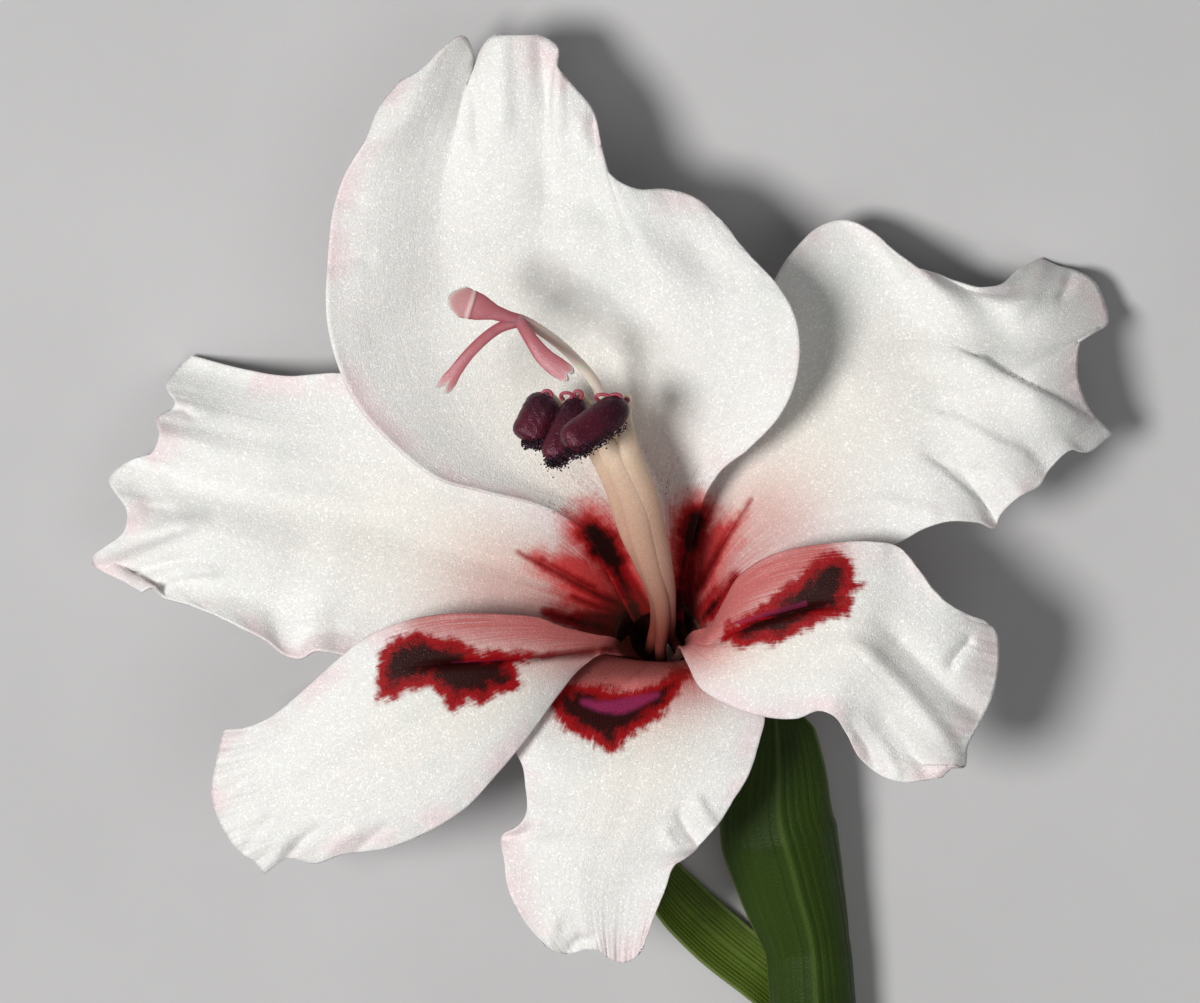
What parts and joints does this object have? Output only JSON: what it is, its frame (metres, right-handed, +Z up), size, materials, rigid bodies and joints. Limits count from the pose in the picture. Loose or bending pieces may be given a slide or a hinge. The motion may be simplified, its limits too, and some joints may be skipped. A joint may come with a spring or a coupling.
{
  "type": "gladiolus flower",
  "caption": "Open gladiolus bloom as picked, lying on its back: ruffled spreading tepals on a short curved tube, stamens, a forked style and the ovary in green bracts.",
  "frame": {"origin": "on the surface that the bloom lies on, under the middle of its bounding box", "axes": "+Z up, away from the surface; +Y from the snapped-off heel towards the dorsal tepal; +X towards the right tepal as the open face is seen"},
  "size_m": [0.077, 0.0872, 0.0243],
  "materials": {
    "petal_white": "satin",
    "filament_cream": "satin",
    "anther_purple": "satin",
    "stigma_pink": "satin",
    "bract_green": "satin",
    "ovary_green": "satin"
  },
  "bodies": {
    "root": {"tepal_dorsal": "petal_white", "tepal_left": "petal_white", "tepal_right": "petal_white", "tepal_lower_left": "petal_white", "tepal_lower_middle": "petal_white", "tepal_lower_right": "petal_white", "perianth_tube": "petal_white", "filament_1": "filament_cream", "filament_2": "filament_cream", "filament_3": "filament_cream", "anther_1": "anther_purple", "anther_2": "anther_purple", "anther_3": "anther_purple", "style": "stigma_pink", "bract_outer": "bract_green", "bract_inner": "bract_green", "ovary": "ovary_green"}
  },
  "joints": []
}
